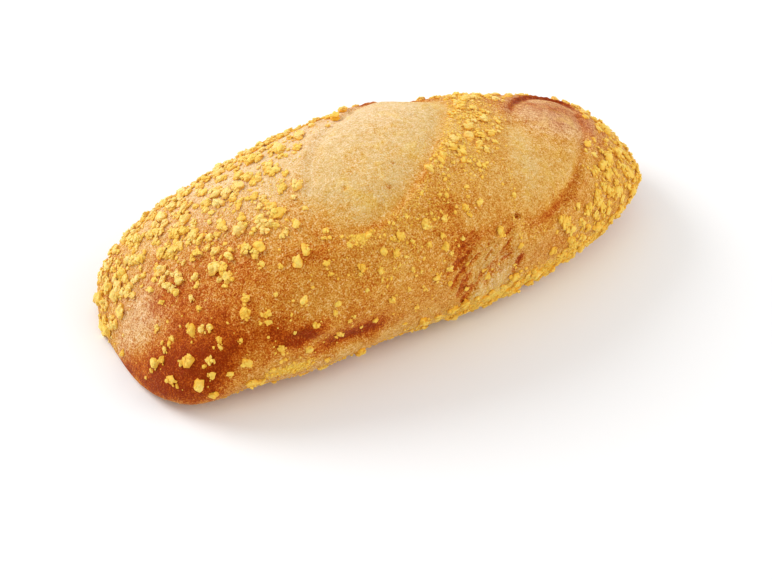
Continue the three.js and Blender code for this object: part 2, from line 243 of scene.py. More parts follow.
# Grits: how many coarse, medium and fine ones lie on a square centimetre, and how large they are
GRIT_FIELDS = rows(
    "x turn length girth lean coarse medium fine size",
    (-90, 44, 75, 62, 20, 5.6, 2.4, 5, 1.0),  # back of the blunt half
    (-60, -6, 80, 36, 0, 4.0, 3, 6, 0.85),  # far flank
    (-114, 142, 34, 56, 0, 1.05, 0.4, 0.8, 0.94),  # blunt end
    (-24, 160, 72, 36, 0, 1.0, 1.4, 2, 0.72),  # near flank
    (-8, 138, 46, 14, -30, 2.0, 4, 8, 0.72),  # band under the wide slash
    (-36, 131, 7, 5, -30, 14, 50, 58, 0.8),  # clot of meal at its near end
    (48, 76, 48, 19, -52, 5.4, 14, 20, 0.80),  # hump between the slashes
    (112, 164, 46, 48, 0, 5.2, 4, 8, 0.92),  # narrow end
    (60, 4, 100, 44, 0, 4.0, 3, 6, 0.75),  # far flank of the narrow half
    (130, 80, 14, 70, 0, 5.2, 3, 5, 0.82),  # tip of the narrow end
    (62, 205, 76, 15, -6, 5.0, 16, 60, 0.95),  # foot of the near flank
    (-70, 210, 60, 7, 0, 0.8, 6, 26, 0.8),  # foot of the blunt half
    (-82, 191, 11, 5, 12, 1.2, 16, 60, 0.7),  # meal at the foot, under the crease
)
# Bare places, where no grits lie
BARES = rows(
    "x turn length girth lean",
    (-131, 92, 10, 15, 0),  # pale dent across the blunt end
    (84, 148, 14, 9, -50),  # under the narrow slash
    (-38, 87, 34, 7, -57),  # strip along the blunt side of the wide slash
)
# Meal gathered along the near rims of the slashes
MEAL_RIMS = rows(
    "slash from to at width medium fine",
    (WIDE_SLASH, 45, 150, 1.18, 0.11, 4, 10),
    (NARROW_SLASH, 120, 250, 1.14, 0.10, 3, 10),
)
DENSEST_MEAL = 60.0  # fine grits on a square centimetre that cover the crust with meal
SLASH_BARE = 1.06  # grits keep this far off a slash, in radii of its oval
GRIT_SCATTER = {"swing": 5, "turn": 12}  # degrees that a trial strays
# A chip's form, as shares of its size: height, length and width, and how far its middle stands off the crust
GRIT_FLATNESS = 0.68
GRIT_LENGTH = (1.0, 1.35)
GRIT_WIDTH = (0.8, 1.15)
GRIT_STAND = 0.06
GRIT_CUTS = 7  # flat cuts on a chip
GRIT_CUT_DEPTH = (0.55, 0.9)  # from its middle, as shares of its reach
GRIT_LOWEST = 2.5  # millimetres from the ground to the middle of the lowest large chip
# Grits grow more orange down the near flank: partly more toasting, partly painted warm light bounced onto
# that flank
GRIT_TOASTING_AND_BOUNCE = {"turn": (75, 150), "share": 0.45}  # the turn over which grits grow more toasted
# The choices that a trial draws, by their rows. Each cut takes three from the first of its own.
DRAW = {
    "swing": 1, "turn": 2, "kept": 3, "spin": 4, "length": 5, "width": 6, "lumps": slice(7, 10), "tint": 9,
    "swing_scatter": 10, "turn_scatter": 11, "cuts": 12,
}
GRIT_DRAWS = DRAW["cuts"] + 3 * GRIT_CUTS
# Knobs and ragged edges of a chip one unit across, and how far apart two chips' patterns may be
KNOBS = {"size": 0.8, "seed": 21}
RAGS = {"size": 0.3, "seed": 22}
LUMPS_APART = 50
# Kinds of grits: the places tried, the millimetres across, how fast the sizes fall off from the largest,
# how fine and crumbly they are and how much they gather
GRIT_KINDS = {
    "coarse": {
        "trials": 6000, "size": (2.6, 6.2), "fade": 1.8, "subdivisions": 2, "clump": 0.0,
        "knobs": 0.34, "ragged": 0.36,
    },
    "medium": {
        "trials": 30000, "size": (1.2, 2.6), "fade": 1.2, "subdivisions": 2, "clump": 1.8,
        "knobs": 0.30, "ragged": 0.22,
    },
    "fine": {
        "trials": 90000, "size": (0.6, 1.3), "fade": 1.0, "subdivisions": 1, "clump": 1.8,
        "knobs": 0.25, "ragged": 0.20,
    },
}
# Crumbs: small lumps stuck to each coarse grit, with their sizes and places as shares of its size
CRUMBS = {
    "each": 6, "size": (0.24, 0.54), "away": (0.10, 0.58), "rise": 0.31, "seed": 17,
    "subdivisions": 1, "knobs": 0.40, "ragged": 0.40,
}
CLUMPS = {"size": 9.0, "seed": 31, "layers": 2}  # noise that gathers the smaller grits
GRIT_CLEAR = 0.05  # millimetres between a chip and the surface that the loaf lies on
RHYTHM = 1.2207440846057596  # real root of x^4 = x + 1
SPREAD_CHOICES = 3  # the first choices of a trial, which the steady count makes
MIXING = 1000  # times the wave's height holds the range from 0 to 1

# Grid of the crust
SLOPE_STEP = 0.5  # degrees between the neighbours that a slope is taken from
MIDDLE_CROWDING = 0.8  # how far apart the grid's stations stay in the middle, as a share of even steps
TOP_CROWDING = 0.72  # and its sides over the top

# Grain of the crust and of the chips: sizes in metres, what it adds to the level, and the depth of its bump
BAKE_STOPS = (0.0, 0.24, 0.5, 0.74, 1.0)  # bake levels of the crust's five shades
CHIP_STOPS = (0.0, 0.45, 1.0)  # tints of a chip's three
PATCHES = {"patch": 0.0075, "grain": 0.0020, "mottle": 0.36, "speckle": 0.28, "bump": 0.0012}
FLECKS = {"patch": 0.0030, "grain": 0.0007, "mottle": 0.28, "speckle": 1.15, "bump": 0.0006}
CHIP_GRAIN = {"patch": 0.0020, "grain": 0.0007, "mottle": 0.5, "speckle": 0.9, "bump": 0.0005}
CHIP_BUMP_STRENGTH = 0.5
GRAIN_DETAIL = {"mottle": 3.0, "speckle": 2.0}
GRAIN_HEIGHT = 0.6  # how far the mottle joins the speckle in the height
NOISE_ROUGHNESS = 0.6
# What changes on the slashes: less grain, a rougher surface, fine felt, and clouds with a little yellow meal
GRAIN_ON_SLASH = 0.9
SLASH_ROUGHNESS = 0.86
FELT = {"scale": 520.0, "detail": 3.0, "swirl": 3.0, "strength": 0.70}
CLOUDS = {"scale": 95.0, "detail": 3.0, "swirl": 0.8, "strength": 0.30}
CLOUD_MEAL = {"levels": (0.0, 0.22), "most": 0.30}
# Veil of flour, which in two patches also paints a highlight: how the grain breaks it up, the levels that it
# shows between, and where browning thins it
VEIL = {
    "flecks": -1.8, "patches": -1.2, "levels": (0.2, 1.2), "most": 0.8, "browned": (0.50, 0.80),
    "least": 0.05,
}
# Specks of meal: cells a metre, their edges and cores, the meal at which all show, and how it grows solid
SPECKS = {"scale": 850.0, "edge": 0.45, "core": 0.25, "all": 0.4, "solid": 3.0}
# Light and dark specks: what the patches add to the flecks, the range, and the two tones
TONES = {
    "patch_speckle": 0.45, "patch_mottle": 0.3, "levels": (-0.3, 0.3),
    "light": (1.20, 1.27, 1.60, 1.0), "dark": (0.76, 0.66, 0.44, 1.0),
}
# A chip turns amber down its lower sides: partly toasting where it sinks into the crust, partly painted
# shade
SUNK_AND_SHADE = {"levels": (1.02, 0.42), "most": 0.95}  # heights of a chip between which it turns amber
COLUMN_WIDTH = 180  # from node to node in the node editor

# Stage, in metres and millimetres of lens and sensor
FLOOR_HALF = 4.0
FLOOR_TONE = {"scale": 2.0, "detail": 1.0, "darker": 0.99}
KEY_LIGHT = {"place": (-0.80, 1.20, 1.00), "size": 1.1}
FILL_LIGHT = {"place": (1.1, -0.9, 1.0), "size": 1.2}
SENSOR_WIDTH = 36.0
NEAREST_SEEN = 0.05


# Numbers ------------------------------------------------------------------------------------------


def fraction(value):
    """The part of a number after its whole part."""
    return value - np.floor(value)


def bell(value):
    """A bell curve: 1 at 0, e to the minus value squared elsewhere."""
    return np.exp(-(value**2))


def plateau(value):
    """A flat-topped bell: e to the minus value to the fourth."""
    return np.exp(-(value**4))


def ease(low, high, value):
    """0 below low, 1 above high and an S-curve of 3t^2 - 2t^3 between them."""
    t = np.clip((value - low) / (high - low), 0, 1)
    return t * t * (3 - 2 * t)


def between(limits, part):
    """The number at a share of the way from the first limit to the second."""
    return limits[0] + (limits[1] - limits[0]) * part


def lattice(cell, seed):
    """A random number from -1 to 1 for each whole-numbered cell, from its coordinates times odd numbers."""
    x, y, z = cell[..., 0], cell[..., 1], cell[..., 2]
    mixed = (x * 73856093) ^ (y * 19349663) ^ (z * 83492791) ^ (seed * 2654435)
    mixed = (mixed ^ (mixed >> 13)) * 1274126177
    mixed = (mixed ^ (mixed >> 16)) & 0xFFFFFF
    return mixed / float(0x7FFFFF) - 1


def noise(points, size, seed):
    """Smooth noise from -1 to 1: lattice numbers size millimetres apart, blended with eased weights."""
    scaled = points / size + SEED_SHIFT * seed
    cell = np.floor(scaled).astype(np.int64)
    part = scaled - cell
    weight = part * part * (3 - 2 * part)
    total = np.zeros(points.shape[:-1])
    for corner in np.ndindex(2, 2, 2):
        share_of_corner = np.prod(np.where(np.array(corner) == 1, weight, 1 - weight), axis=-1)
        total += share_of_corner * lattice(cell + np.array(corner), seed)
    return total


def layered(points, size, seed, layers=3):
    """Noise summed over layers, each half as large and half as strong as the one before."""
    return sum(noise(points, size / 2**k, seed + 7 * k) / 2**k for k in range(layers))


def summed(points, kinds):
    """Noise of several kinds, each at its own size and strength, added up."""
    return sum(kind["strength"] * noise(points, kind["size"], kind["seed"]) for kind in kinds)


# Crust --------------------------------------------------------------------------------------------


def fade(s, shape):
    """Share of the full width or height left at s, from -1 to 1.

    It is (1 - t^power)^(1/roundness), where t runs from 0 at the peak to 1 at either end.
    """
    to_blunt = (shape["peak"] - s) / (1 + shape["peak"])
    to_narrow = (s - shape["peak"]) / (1 - shape["peak"])
    blunt = s < shape["peak"]
    away = np.where(blunt, to_blunt, to_narrow)
    power = np.where(blunt, shape["blunt_power"], shape["narrow_power"])
    return np.maximum(0, 1 - away**power) ** (1 / shape["roundness"])


def smooth_crust(swing, turn):
    """The smooth loaf: a superellipse section whose width and height fade towards both ends, flat below."""
    s = np.sin(np.radians(swing))
    side, rise = np.cos(np.radians(turn)), np.sin(np.radians(turn))
    height = HEIGHT * fade(s, SIDE)
    belly = BELLY * height
    y = HALF_WIDTH * fade(s, PLAN) * np.sign(side) * np.abs(side) ** (2 / FLANK_FULLNESS)
    above = (height - belly) * np.maximum(rise, 0) ** (2 / CROWN_FULLNESS)
    below = belly * BASE_DEPTH * np.maximum(-rise, 0) ** (2 / BASE_FULLNESS)
    curl = np.maximum(0, (np.abs(s) - CURL_START) / (1 - CURL_START)) ** 2
    lift = np.where(s < 0, BLUNT_LIFT, NARROW_LIFT) * curl
    return np.stack([HALF_LENGTH * s, y + BOW * (s * s - BOW_CENTRE), belly + above - below + lift], axis=-1)


def unit(vectors):
    """Each vector divided by its length."""
    return vectors / np.maximum(np.linalg.norm(vectors, axis=-1, keepdims=True), 1e-12)


def slopes(swing, turn):
    """Steps along and round the crust between near neighbours, and their cross product, which points out."""
    along = smooth_crust(swing + SLOPE_STEP, turn) - smooth_crust(swing - SLOPE_STEP, turn)
    round_section = smooth_crust(swing, turn + SLOPE_STEP) - smooth_crust(swing, turn - SLOPE_STEP)
    return along, round_section, np.cross(round_section, along)


def on_slash(x, turn, slash):
    """Radius on a slash's leaning oval, 1 at its rim, the angle round it, and millimetres to one radius.

    The oval is a superellipse: |long|^fullness + |wide|^fullness = 1, with the angle in degrees.
    """
    lean = math.radians(slash["lean"])
    dx, dturn = x - slash["x"], turn - slash["turn"]
    long = (dx * math.cos(lean) + dturn * math.sin(lean)) / slash["half_length"]
    wide = (dturn * math.cos(lean) - dx * math.sin(lean)) / slash["half_width"]
    power = slash["fullness"]
    radius = (np.abs(long) ** power + np.abs(wide) ** power) ** (1 / power)
    reach = np.hypot(dx, dturn) / np.maximum(radius, 1e-6)
    return radius, np.degrees(np.arctan2(wide, long)), reach


def stretch(angle, rim):
    """0 outside a stretch of rim and the square root of a sine arch within it."""
    span = rim["to"] - rim["from"]
    if span >= CIRCLE:
        return np.ones_like(angle)
    part = fraction((angle - rim["from"]) / CIRCLE) * CIRCLE / span
    return np.where(part < 1, np.sqrt(np.maximum(0, np.sin(np.minimum(part, 1) * np.pi))), 0)


def leaning(x, turn, patch):
    """A place seen from a patch's centre, turned by its lean: how far along it and how far across it."""
    lean = math.radians(patch["lean"])
    dx, dturn = x - patch["x"], turn - patch["turn"]
    return dx * math.cos(lean) + dturn * math.sin(lean), dturn * math.cos(lean) - dx * math.sin(lean)


def blob(x, turn, patch):
    """A bell in both directions round a patch's centre."""
    return bell((x - patch["x"]) / patch["length"]) * bell((turn - patch["turn"]) / patch["girth"])


def crease_mask(x, turn):
    """1 in the crease's floor: a bell across its line, faded at its tips by a sine.

    The line keeps one turn, and climbs as a parabola past its bend.
    """
    line = CREASE["turn"] - CREASE["drop"] * np.maximum(0, CREASE["bend_at"] - x) ** 2
    part = np.clip((x - CREASE["from"]) / (CREASE["to"] - CREASE["from"]), 0, 1)
    return np.sin(part * np.pi) * bell((turn - line) / CREASE["half_width"])


def strands(x, turn):
    """The torn place: a soft patch, and in it stretched crumb, layered noise drawn out along its lean."""
    inside = plateau((x - TEAR["x"]) / TEAR["length"]) * plateau((turn - TEAR["turn"]) / TEAR["girth"])
    along, across = leaning(x, turn, TEAR)
    drawn_out = np.stack([along / TEAR["stretch"], across, 0 * across], axis=-1)
    return inside, inside * layered(drawn_out, TEAR["strand"], TEAR["seed"])


def pore_mask(x, turn):
    """1 in the small open bubbles, times their depth, and a faint ring of the other sign round each."""
    inside = np.zeros(np.broadcast(x, turn).shape)
    for pore in PORES:
        away = np.hypot(x - pore["x"], turn - pore["turn"]) / (pore["across"] / 2)
        ring = PORE_RING["share"] * bell((away - PORE_RING["at"]) / PORE_RING["width"])
        inside += pore["depth"] * (plateau(away) - ring)
    return inside


def broad_relief(x, turn):
    """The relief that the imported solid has: slash domes, rims, swells and the crease, all added up."""
    height = np.zeros(np.broadcast(x, turn).shape)
    for slash in SLASHES:
        height += slash["dome"] * np.maximum(0, 1 - on_slash(x, turn, slash)[0] ** 2)
    for rim in RIMS:
        radius, angle, _ = on_slash(x, turn, rim["slash"])
        height += rim["height"] * bell((radius - rim["at"]) / rim["width"]) * stretch(angle, rim)
    for swell in SWELLS:
        height += swell["height"] * blob(x, turn, swell)
    return height - CREASE["depth"] * crease_mask(x, turn)


def lip_relief(x, turn):
    """The browned lips, and the curl of one of them, which is a bell.

    A lip is an arch across the rim, steep on the slash's side, whose crest is ragged by sines of the angle.
    """
    height = CURL["height"] * blob(x, turn, CURL)
    for lip in LIPS:
        radius, angle, reach = on_slash(x, turn, lip["slash"])
        away = (radius - lip["at"]) * reach
        profile = np.where(away < 0, bell(away / lip["inner"]), bell(away / lip["outer"]))
        crest = CREST_LEVEL
        for sine in CREST_SINES:
            crest = crest + sine["share"] * np.sin(angle * sine["per_degree"] + sine["start"])
        height = height + lip["height"] * profile * stretch(angle, lip) * crest
    return height


def slash_mask(x, turn):
    """1 on the bare surface inside either slash, and 0 outside them."""
    return np.maximum(*(1 - ease(*slash["bare_edge"], on_slash(x, turn, slash)[0]) for slash in SLASHES))


def fine_relief(points, x, turn):
    """Unevenness: slow waves, lumps that are lower on the slashes, strands in the torn hollow, and pores."""
    slash = slash_mask(x, turn)
    torn, strand = strands(x, turn)
    lumps = 0
    for lump in LUMPS:
        strength = lump["strength"] - lump["less_on_slash"] * slash
        lumps = lumps + strength * layered(points, lump["size"], lump["seed"], lump["layers"])
    tear = TEAR["depth"] * (strand - TEAR["hollow"] * torn)
    return summed(points, WAVES) + lumps + tear - pore_mask(x, turn)


def crust(swing, turn):
    """The crust: the smooth loaf moved out along its normal by the relief, which dies away at both tips."""
    x = HALF_LENGTH * np.sin(np.radians(swing))
    points = smooth_crust(swing, turn)
    height = broad_relief(x, turn) + lip_relief(x, turn) + fine_relief(points, x, turn)
    points = points + unit(slopes(swing, turn)[2]) * (height * np.cos(np.radians(swing)) ** 0.5)[..., None]
    points[..., 2] = np.maximum(points[..., 2], 0)
    return points


def bake_level(points, x, turn):
    """How brown the crust is: a golden level, plus patches, rims and noise, less the pale slashes.

    Where it is browned the noise is stronger, so that deep browning breaks up into blotches. The pores and
    the hollows between the torn strands are darkened as painted shade, and the crease is partly painted
    shade.
    """
    level = np.full(np.broadcast(x, turn).shape, GOLDEN)
    for patch in BAKES:
        level += patch["deeper"] * blob(x, turn, patch)
    for rim in RIM_BAKES:
        radius, angle, _ = on_slash(x, turn, rim["slash"])
        level += rim["deeper"] * bell((radius - rim["at"]) / rim["width"]) * stretch(angle, rim)
    wobble = summed(points, EDGE_NOISE)
    level -= sum(
        slash["paler"] * (1 - ease(*slash["pale_edge"], on_slash(x, turn, slash)[0] + wobble))
        for slash in SLASHES
    )
    torn, strand = strands(x, turn)
    # Painted shade in the hollows between the torn strands, and the paler torn crumb
    level += TEAR["darker"] * ease(*TEAR["shade_between"], -strand) - TEAR["paler"] * torn
    # Painted shade in the pores, deepest where they are deepest
    level += PORE_PAINTED_SHADE * np.clip(pore_mask(x, turn), 0, 1)
    level += summed(points, BAKE_NOISE)
    blotches = BLOTCHES["strength"] * layered(points, BLOTCHES["size"], BLOTCHES["seed"], BLOTCHES["layers"])
    level += blotches * ease(*BLOTCHES["levels"], level)
    under = ease(*UNDERSIDE["near"], turn) + 1 - ease(*UNDERSIDE["far"], turn)
    return np.clip(level + UNDERSIDE["deeper"] * under, 0, 1)


def dust_and_highlight_level(x, turn):
    """How thick the veil of flour is: a little everywhere, more in its patches, two of which also paint a
    highlight.
    """
    level = np.full(np.broadcast(x, turn).shape, LEAST_DUST)
    for patch in DUST_AND_HIGHLIGHT_PATCHES:
        level += patch["dust"] * blob(x, turn, patch)
    return np.clip(level, 0, 1)


def meal_level(x, turn):
    """How much fine yellow meal is baked onto the crust, from the density of the fine grits."""
    return np.clip(grit_density(x, turn, "fine") / DENSEST_MEAL, 0, 1)


# Grits --------------------------------------------------------------------------------------------


def draws(kind):
    """Numbers from 0 to 1, a row for each choice and a column for each trial.

    The coarse grits draw as the solid's do: a steady count spreads the places evenly, and a wave makes every
    other choice. The smaller ones draw from a seeded generator.
    """
    trials = GRIT_KINDS[kind]["trials"]
    if kind != "coarse":
        return np.random.default_rng(trials).random((GRIT_DRAWS, trials))
    choice = np.arange(GRIT_DRAWS)[:, None]
    count = np.arange(trials) + 1
    spread = count * RHYTHM ** -np.minimum(choice, float(SPREAD_CHOICES))
    mixed = MIXING * np.sin(count * np.log(np.maximum(choice, 1)))
    return fraction(np.where(choice <= SPREAD_CHOICES, spread, mixed))


def in_field(x, turn, field):
    """1 inside a leaning field, with a flat-topped fade round it."""
    along, across = leaning(x, turn, field)
    return plateau(along / field["length"]) * plateau(across / field["girth"])


def grit_density(x, turn, kind):
    """Grits of a kind on a square centimetre: the densest field at a place, plus the meal along rims."""
    count = np.zeros(np.broadcast(x, turn).shape)
    for field in GRIT_FIELDS:
        count = np.maximum(count, field[kind] * in_field(x, turn, field))
    for rim in MEAL_RIMS:
        radius, angle, _ = on_slash(x, turn, rim["slash"])
        count = count + rim.get(kind, 0) * bell((radius - rim["at"]) / rim["width"]) * stretch(angle, rim)
    for bare in BARES:
        count = count * (1 - in_field(x, turn, bare))
    for slash in SLASHES:
        count = np.where(on_slash(x, turn, slash)[0] < SLASH_BARE, 0, count)
    return count


def grit_size(x, turn):
    """How large grits are at a place: the factor of the field that has the most coarse ones there."""
    best, size = np.zeros(x.shape), np.ones(x.shape)
    for field in GRIT_FIELDS:
        there = field["coarse"] * in_field(x, turn, field)
        size = np.where(there > best, field["size"], size)
        best = np.maximum(best, there)
    return size


def ball(subdivisions):
    """The corners and triangles of a unit ball made of even triangles."""
    mesh = bmesh.new()
    bmesh.ops.create_icosphere(mesh, subdivisions=subdivisions, radius=1)
    corners = np.array([v.co for v in mesh.verts])
    faces = np.array([[v.index for v in f.verts] for f in mesh.faces])
    mesh.free()
    return corners, faces


def chips(drawn, settings):
    """Broken chips one unit across: balls whose reach stops at the nearest of their flat cuts.

    Noise at two sizes then makes them knobbly and ragged.
    """
    corners, faces = ball(settings["subdivisions"])
    reach = np.ones((drawn.shape[1], len(corners)))
    for cut in range(GRIT_CUTS):
        height, bearing, deep = drawn[DRAW["cuts"] + 3 * cut:][:3]
        z = 2 * height - 1
        angle = bearing * 2 * np.pi
        across = np.sqrt(1 - z * z)
        face = np.stack([across * np.cos(angle), across * np.sin(angle), z], axis=-1)
        depth = between(GRIT_CUT_DEPTH, deep)[:, None]
        reach = np.minimum(reach, depth / np.maximum(depth, face @ corners.T))
    places = corners[None] + LUMPS_APART * drawn[DRAW["lumps"]].T[:, None]
    knobs = settings["knobs"] * noise(places, KNOBS["size"], KNOBS["seed"])
    rags = settings["ragged"] * noise(places, RAGS["size"], RAGS["seed"])
    return corners[None] * (reach * (1 + knobs + rags))[..., None] / 2, faces


def grit_places(kind):
    """Swing, turn, size and draws of every grit of a kind: trials spread over the crust, kept by density."""
    settings = GRIT_KINDS[kind]
    drawn = draws(kind)
    swing = 180 * drawn[DRAW["swing"]] - 90 + GRIT_SCATTER["swing"] * (drawn[DRAW["swing_scatter"]] - 0.5)
    turn = CIRCLE * drawn[DRAW["turn"]] - 90 + GRIT_SCATTER["turn"] * (drawn[DRAW["turn_scatter"]] - 0.5)
    x = HALF_LENGTH * np.sin(np.radians(swing))
    trial_area = np.linalg.norm(slopes(swing, turn)[2], axis=-1) / math.radians(2 * SLOPE_STEP) ** 2
    trial_area = trial_area * 2 * np.pi**2 / settings["trials"]
    clumps = layered(smooth_crust(swing, turn), CLUMPS["size"], CLUMPS["seed"], CLUMPS["layers"])
    gathered = np.maximum(0, 1 + settings["clump"] * clumps)
    kept = drawn[DRAW["kept"]] <= grit_density(x, turn, kind) * gathered * trial_area / CM2
    rank = (1 - np.arange(settings["trials"]) / settings["trials"]) ** settings["fade"]
    across = between(settings["size"], rank) * grit_size(x, turn)
    return swing[kept], turn[kept], across[kept], drawn[:, kept]


def grit_frames(kind):
    """Every grit of a kind, pressed into the crust and turned: its middle, three directions and looks.

    Across is its size, rise its height above the grit that carries it, and whole that grit's size. Its tint
    grows more toasted down the near flank, which partly paints warm light bounced onto that flank.
    """
    swing, turn, across, drawn = grit_places(kind)
    along, _, outward = slopes(swing, turn)
    along, outward = unit(along), unit(outward)
    spin = drawn[DRAW["spin"]] * 2 * np.pi
    first = along * np.cos(spin)[:, None] + np.cross(outward, along) * np.sin(spin)[:, None]
    toasting_and_bounce = ease(*GRIT_TOASTING_AND_BOUNCE["turn"], turn)
    frames = {
        "middle": crust(swing, turn) + outward * (GRIT_STAND * across)[:, None],
        "first": first,
        "second": np.cross(outward, first),
        "outward": outward,
        "across": across,
        "rise": 0 * across,
        "whole": across,
        "tint": between((drawn[DRAW["tint"]], toasting_and_bounce), GRIT_TOASTING_AND_BOUNCE["share"]),
        "drawn": drawn.T,
    }
    above = frames["middle"][:, 2] > np.minimum(GRIT_LOWEST, across / 2)
    return {key: part[above] for key, part in frames.items()}


def crumb_frames(coarse):
    """The same of the crumbs: a few round each coarse grit, low at its rim and high near its middle."""
    frames = {key: np.repeat(part, CRUMBS["each"], axis=0) for key, part in coarse.items()}
    drawn = np.random.default_rng(CRUMBS["seed"]).random(frames["drawn"].shape)
    bearing, out, height, size = drawn[:, :4].T
    angle = bearing * 2 * np.pi
    away = frames["across"] * between(CRUMBS["away"], out)
    above = frames["across"] * CRUMBS["rise"] * np.sqrt(height * (1 - out**2))
    steps = {"first": away * np.cos(angle), "second": away * np.sin(angle), "outward": above}
    for direction, step in steps.items():
        frames["middle"] = frames["middle"] + step[:, None] * frames[direction]
    frames["rise"] = above
    frames["across"] = frames["across"] * between(CRUMBS["size"], size)
    frames["drawn"] = drawn
    return frames


def grit_mesh(frames, settings):
    """Chips scaled along, across and out from their frames, as one mesh, with a tint and a height for each.

    The height, called tip, is 0.5 at the middle of the grit that carries the chip and 1 at that grit's top.
    """
    drawn, across = frames["drawn"].T, frames["across"]
    shapes, faces = chips(drawn, settings)
    scales = (
        across * between(GRIT_LENGTH, drawn[DRAW["length"]]),
        across * between(GRIT_WIDTH, drawn[DRAW["width"]]),
        across * GRIT_FLATNESS,
    )
    points = frames["middle"][:, None]
    for axis, direction in enumerate(("first", "second", "outward")):
        reach = shapes[..., axis] * scales[axis][:, None]
        points = points + reach[..., None] * frames[direction][:, None]
    points[..., 2] = np.maximum(points[..., 2], GRIT_CLEAR)
    corners = shapes.shape[1]
    triangles = faces[None] + corners * np.arange(len(across))[:, None, None]
    height = frames["rise"][:, None] + shapes[..., 2] * scales[2][:, None]
    tip = height / (GRIT_FLATNESS * frames["whole"])[:, None] + 0.5
    attributes = {"tint": np.repeat(frames["tint"], corners), "tip": tip.ravel()}
    return points.reshape(-1, 3), triangles.reshape(-1, 3), attributes


# Meshes -------------------------------------------------------------------------------------------


def add_piece(name, points, face_groups, attributes, material, smooth=True):
    """A mesh object from points in millimetres, arrays of faces, and numbers kept at its points."""
    mesh = bpy.data.meshes.new(name)
    mesh.vertices.add(len(points))
    mesh.vertices.foreach_set("co", (points * MM).astype(np.float32).ravel())
    totals = np.concatenate([np.full(len(faces), faces.shape[1]) for faces in face_groups])
    corners = np.concatenate([faces.ravel() for faces in face_groups])
    mesh.loops.add(len(corners))
    mesh.loops.foreach_set("vertex_index", corners.astype(np.int32))
    mesh.polygons.add(len(totals))
    mesh.polygons.foreach_set("loop_start", (np.cumsum(totals) - totals).astype(np.int32))
    mesh.polygons.foreach_set("use_smooth", np.full(len(totals), smooth))
    for key, values in attributes.items():
        kept = mesh.attributes.new(key, "FLOAT", "POINT")
        kept.data.foreach_set("value", values.astype(np.float32).ravel())
    mesh.update(calc_edges=True)
    mesh.validate()
    mesh.materials.append(material)
    piece = bpy.data.objects.new(name, mesh)
    bpy.context.scene.collection.objects.link(piece)
    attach(piece, "root")
    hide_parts("loaf")
    return piece


def crust_mesh(stations, sides):
    """The crust as a grid of stations by sides, drawn to a point at each end.

    The stations crowd towards the middle and the sides towards the top: the angle is a share of even steps
    plus the rest as their third or fifth power.
    """
    along = 2 * np.arange(1, stations) / stations - 1
    swing = 90 * (MIDDLE_CROWDING * along + (1 - MIDDLE_CROWDING) * along**3)
    beside = 2 * np.arange(sides) / sides - 1
    turn = 90 + 180 * (TOP_CROWDING * beside + (1 - TOP_CROWDING) * beside**5)
    swing, turn = np.meshgrid(swing, turn, indexing="ij")
    ends = np.array([-90.0, 90.0])
    points = np.concatenate([crust(swing, turn).reshape(-1, 3), smooth_crust(ends, 0 * ends)])
    x = HALF_LENGTH * np.sin(np.radians(swing))
    plain = smooth_crust(swing, turn)
    attributes = {
        "bake": bake_level(plain, x, turn),
        "slash": slash_mask(x, turn),
        "meal": meal_level(x, turn),
        "dust": dust_and_highlight_level(x, turn),
    }
    for key, level in attributes.items():
        attributes[key] = np.concatenate([level.ravel(), level[[0, -1], 0]])
    ring, side = np.meshgrid(np.arange(stations - 2), np.arange(sides), indexing="ij")
    here, beside = ring * sides + side, ring * sides + (side + 1) % sides
    quads = np.stack([here, beside, beside + sides, here + sides], axis=-1).reshape(-1, 4)
    blunt_tip, narrow_tip = len(points) - 2, len(points) - 1
    side = np.arange(sides)
    nearest = np.stack([np.full(sides, blunt_tip), (side + 1) % sides, side], axis=-1)
    last = (stations - 2) * sides
    farthest = np.stack([np.full(sides, narrow_tip), last + side, last + (side + 1) % sides], axis=-1)
    return points, [quads, np.concatenate([nearest, farthest])], attributes


# Materials ----------------------------------------------------------------------------------------


class NodeLine:
    """Adds nodes to a tree, in columns from left to right, and links them."""

    def __init__(self, tree):
        self.tree = tree
        self.column = 0

    def add(self, kind, settings=None, **inputs):
        """A node of a kind, with its settings, and each named or numbered input set or linked."""
        node = self.tree.nodes.new(kind)
        node.location = (self.column * COLUMN_WIDTH, 0)
        self.column += 1
        for key, value in (settings or {}).items():
            setattr(node, key, value)
        for key, value in inputs.items():
            socket = node.inputs[int(key[1:]) if key[1:].isdigit() else key.replace("_", " ")]
            if isinstance(value, bpy.types.NodeSocket):
                self.tree.links.new(value, socket)
            else:
                socket.default_value = value
        return node

    def maths(self, operation, *values, clamp=False):
        """The result of a Math node."""
        inputs = {f"i{place}": value for place, value in enumerate(values)}
        return self.add("ShaderNodeMath", {"operation": operation, "use_clamp": clamp}, **inputs).outputs[0]

    def remap(self, value, low, high, to_low, to_high):
        """A value carried from one range to another, held at its ends."""
        ends = {"From_Min": low, "From_Max": high, "To_Min": to_low, "To_Max": to_high}
        return self.add("ShaderNodeMapRange", Value=value, **ends).outputs[0]

    def mix(self, amount, a, b):
        """Two colours mixed by an amount."""
        return self.add("ShaderNodeMix", {"data_type": "RGBA"}, i0=amount, i6=a, i7=b).outputs[2]

    def ramp(self, value, stops):
        """A colour read from a ramp of (position, colour) stops."""
        node = self.add("ShaderNodeValToRGB", Fac=value)
        elements = node.color_ramp.elements
        while len(elements) < len(stops):
            elements.new(1.0)
        for element, (position, colour) in zip(elements, stops):
            element.position = position
            element.color = (*colour, 1.0)
        return node.outputs[0]

    def noise(self, vector, scale, detail, swirl=0.0):
        """Noise about 0, from about -0.5 to 0.5, drawn into curls by a swirl."""
        looks = {"Scale": scale, "Detail": detail, "Roughness": NOISE_ROUGHNESS, "Distortion": swirl}
        made = self.add("ShaderNodeTexNoise", Vector=vector, **looks)
        return self.maths("SUBTRACT", made.outputs[0], 0.5)

    def attribute(self, name):
        """A number kept at the mesh's points."""
        return self.add("ShaderNodeAttribute", {"attribute_name": name}).outputs["Fac"]


